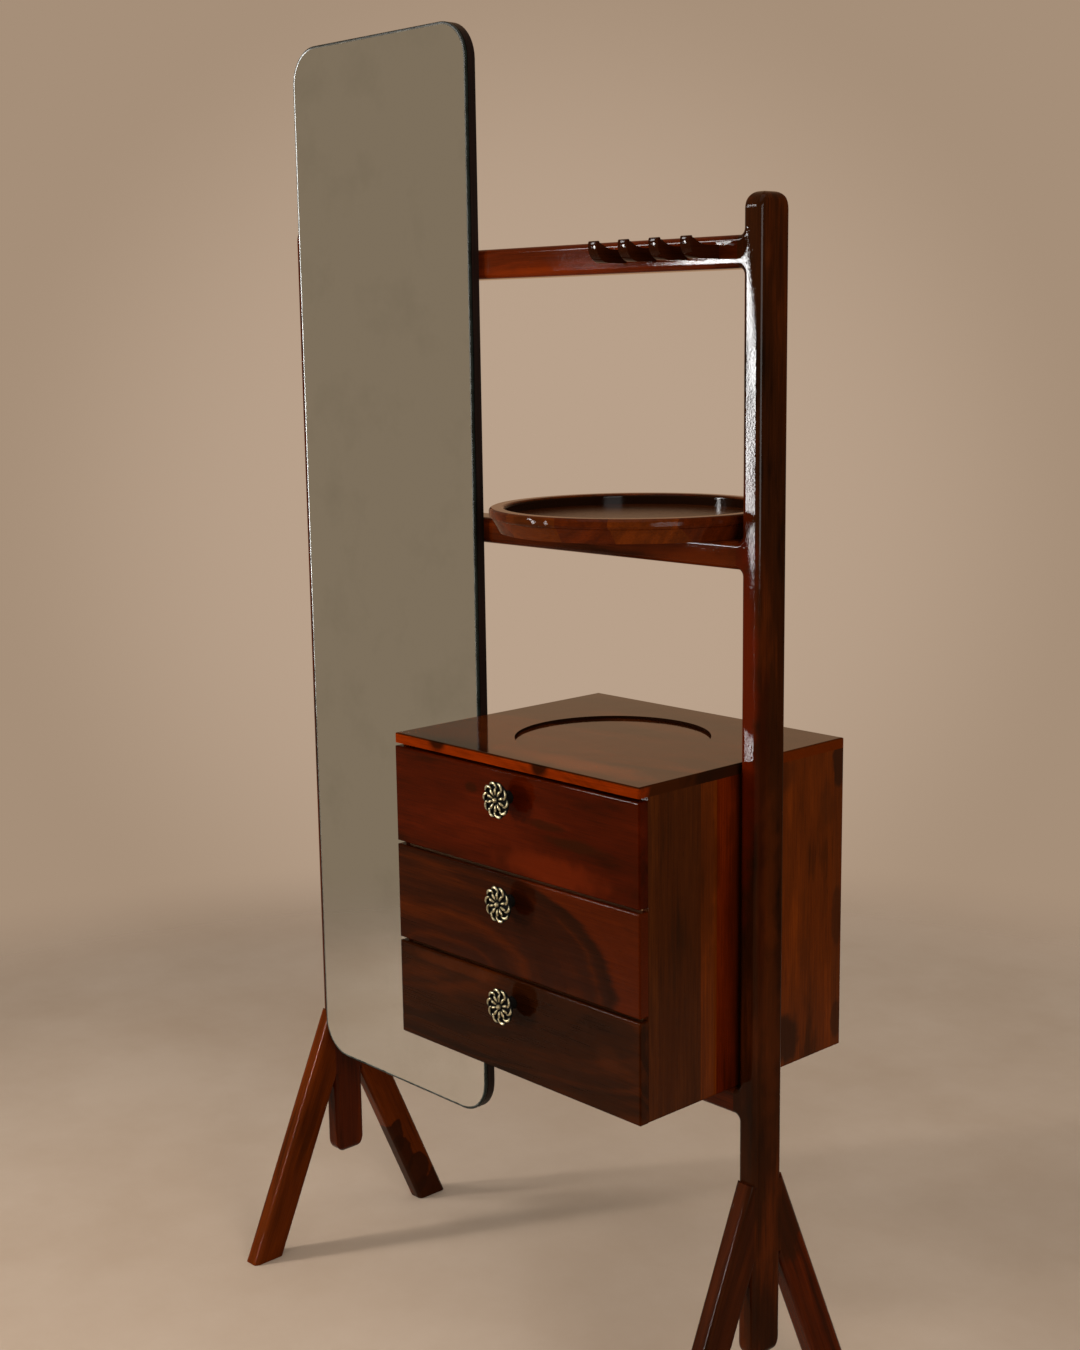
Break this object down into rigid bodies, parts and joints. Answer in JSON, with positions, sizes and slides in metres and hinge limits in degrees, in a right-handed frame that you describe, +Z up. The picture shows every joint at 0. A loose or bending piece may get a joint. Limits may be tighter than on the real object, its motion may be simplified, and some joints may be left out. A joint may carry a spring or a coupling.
{
  "type": "dressing table",
  "caption": "Freestanding wooden dressing table: tall round-cornered mirror beside a drawer cabinet, round tray and hook rail between two posts on splayed legs.",
  "frame": {"origin": "on the floor, at the middle of the overall footprint", "axes": "+Z up along the posts and the tall mirror, +X to the right seen from the drawers' side, +Y to the back"},
  "size_m": [0.812, 0.372, 1.65],
  "materials": {
    "frame_wood": "gloss lacquer over dark rosewood",
    "cabinet_wood": "gloss lacquer over edge-glued rosewood boards",
    "front_wood": "gloss lacquer over figured rosewood",
    "tray_wood": "gloss lacquer over turned rosewood",
    "inner_wood": "plain oiled wood",
    "backing_wood": "black stain",
    "mirror_glass": "silvered float glass with a polished edge",
    "antique_brass": "antiqued, dark in the recesses",
    "screw_steel": "zinc-plated"
  },
  "bodies": {
    "stand": {"left_post": "frame_wood", "right_post": "frame_wood", "top_rail": "frame_wood", "middle_rail": "frame_wood", "lower_rail": "frame_wood", "front_left_leg": "frame_wood", "back_left_leg": "frame_wood", "front_right_leg": "frame_wood", "back_right_leg": "frame_wood", "leg_dowels": "inner_wood", "hook_1": "frame_wood", "hook_2": "frame_wood", "hook_3": "frame_wood", "hook_4": "frame_wood", "hook_screws": "screw_steel", "mirror_glass": "mirror_glass", "mirror_backing": "backing_wood", "mirror_screws": "screw_steel", "tray_rim": "tray_wood", "tray_floor": "tray_wood", "tray_screws": "screw_steel", "cabinet_top": "cabinet_wood", "cabinet_left_side": "cabinet_wood", "cabinet_right_side": "cabinet_wood", "cabinet_bottom": "cabinet_wood", "cabinet_back": "inner_wood", "upper_divider": "inner_wood", "lower_divider": "inner_wood", "upper_left_runner": "inner_wood", "upper_right_runner": "inner_wood", "lower_left_runner": "inner_wood", "lower_right_runner": "inner_wood", "cabinet_screws": "screw_steel"},
    "drawer_1": {"drawer_1_front": "front_wood", "drawer_1_left_side": "inner_wood", "drawer_1_right_side": "inner_wood", "drawer_1_back": "inner_wood", "drawer_1_bottom": "inner_wood", "drawer_1_knob": "antique_brass", "drawer_1_knob_screw": "screw_steel"},
    "drawer_2": {"drawer_2_front": "front_wood", "drawer_2_left_side": "inner_wood", "drawer_2_right_side": "inner_wood", "drawer_2_back": "inner_wood", "drawer_2_bottom": "inner_wood", "drawer_2_knob": "antique_brass", "drawer_2_knob_screw": "screw_steel"},
    "drawer_3": {"drawer_3_front": "front_wood", "drawer_3_left_side": "inner_wood", "drawer_3_right_side": "inner_wood", "drawer_3_back": "inner_wood", "drawer_3_bottom": "inner_wood", "drawer_3_knob": "antique_brass", "drawer_3_knob_screw": "screw_steel"}
  },
  "joints": [
    {"name": "drawer_1_slide", "type": "slide", "parent": "stand", "child": "drawer_1", "axis": [0, -1, 0], "range_m": [0, 0.24]},
    {"name": "drawer_2_slide", "type": "slide", "parent": "stand", "child": "drawer_2", "axis": [0, -1, 0], "range_m": [0, 0.24]},
    {"name": "drawer_3_slide", "type": "slide", "parent": "stand", "child": "drawer_3", "axis": [0, -1, 0], "range_m": [0, 0.24]}
  ]
}
